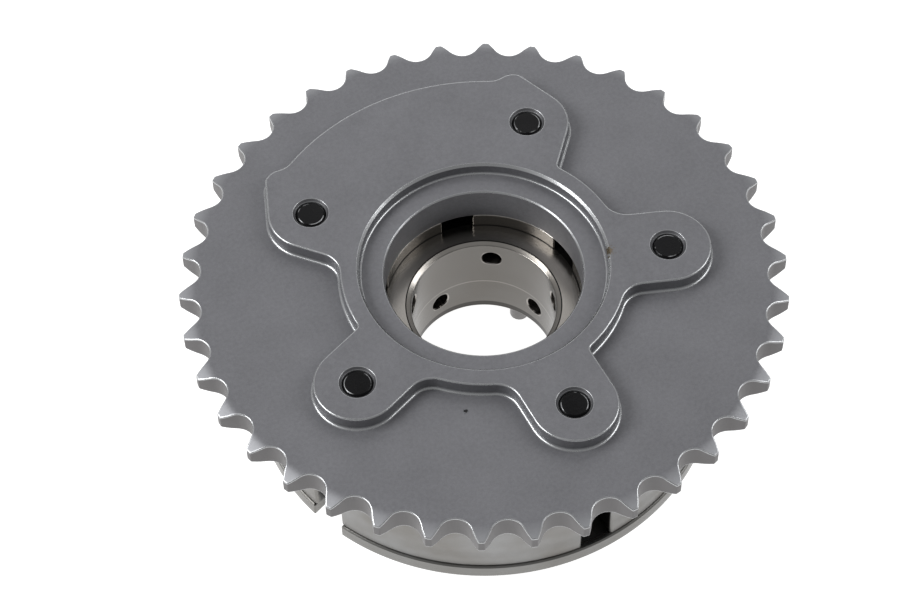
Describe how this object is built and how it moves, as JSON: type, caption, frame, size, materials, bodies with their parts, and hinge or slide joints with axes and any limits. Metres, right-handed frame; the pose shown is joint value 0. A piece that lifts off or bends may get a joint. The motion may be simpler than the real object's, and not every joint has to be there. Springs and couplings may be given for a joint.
{
  "type": "cam phaser",
  "caption": "Hydraulic camshaft phaser: toothed chain sprocket with a raised lobed plateau, screwed to a vane housing with a turning rotor and a spring-loaded lock pin.",
  "frame": {"origin": "on the axis, in the plane of the five screw heads on which the part stands", "axes": "+Z along the camshaft axis towards the camshaft, +Y through the middle of the plateau's raised sector and of a tooth"},
  "size_m": [0.1166, 0.117, 0.0424],
  "materials": {
    "sprocket_steel": "tumbled sintered steel, dull",
    "stator_aluminium": "machined",
    "cover_steel": "ground",
    "rotor_steel": "ground sintered steel",
    "pin_steel": "ground",
    "spring_steel": "drawn",
    "screw_black": "black oxide, oiled",
    "seal_plastic": "moulded"
  },
  "bodies": {
    "housing": {"sprocket": "sprocket_steel", "stator": "stator_aluminium", "front_cover": "cover_steel", "cover_screw_1": "screw_black", "cover_screw_2": "screw_black", "cover_screw_3": "screw_black", "cover_screw_4": "screw_black", "cover_screw_5": "screw_black", "web_seal_1": "seal_plastic", "web_seal_2": "seal_plastic", "web_seal_3": "seal_plastic", "web_seal_4": "seal_plastic", "web_seal_5": "seal_plastic", "web_seal_spring_1": "spring_steel", "web_seal_spring_2": "spring_steel", "web_seal_spring_3": "spring_steel", "web_seal_spring_4": "spring_steel", "web_seal_spring_5": "spring_steel"},
    "rotor": {"rotor": "rotor_steel", "rotor_dowel": "pin_steel", "lock_pin_cap": "pin_steel", "lock_pin_spring": "spring_steel", "vane_seal_1": "seal_plastic", "vane_seal_2": "seal_plastic", "vane_seal_3": "seal_plastic", "vane_seal_4": "seal_plastic", "vane_seal_5": "seal_plastic", "vane_seal_spring_1": "spring_steel", "vane_seal_spring_2": "spring_steel", "vane_seal_spring_3": "spring_steel", "vane_seal_spring_4": "spring_steel", "vane_seal_spring_5": "spring_steel"},
    "lock_pin": {"lock_pin": "pin_steel"}
  },
  "joints": [
    {"name": "rotor_turn", "type": "hinge", "parent": "housing", "child": "rotor", "pos_m": [0, 0, 0], "axis": [0, 0, 1], "range_deg": [0, 24]},
    {"name": "lock_pin_slide", "type": "slide", "parent": "rotor", "child": "lock_pin", "axis": [0, 0, -1], "range_m": [0, 0.0038], "stiffness_N_per_m": 800, "springref_m": -0.004, "deforming": ["lock_pin_spring"]}
  ]
}
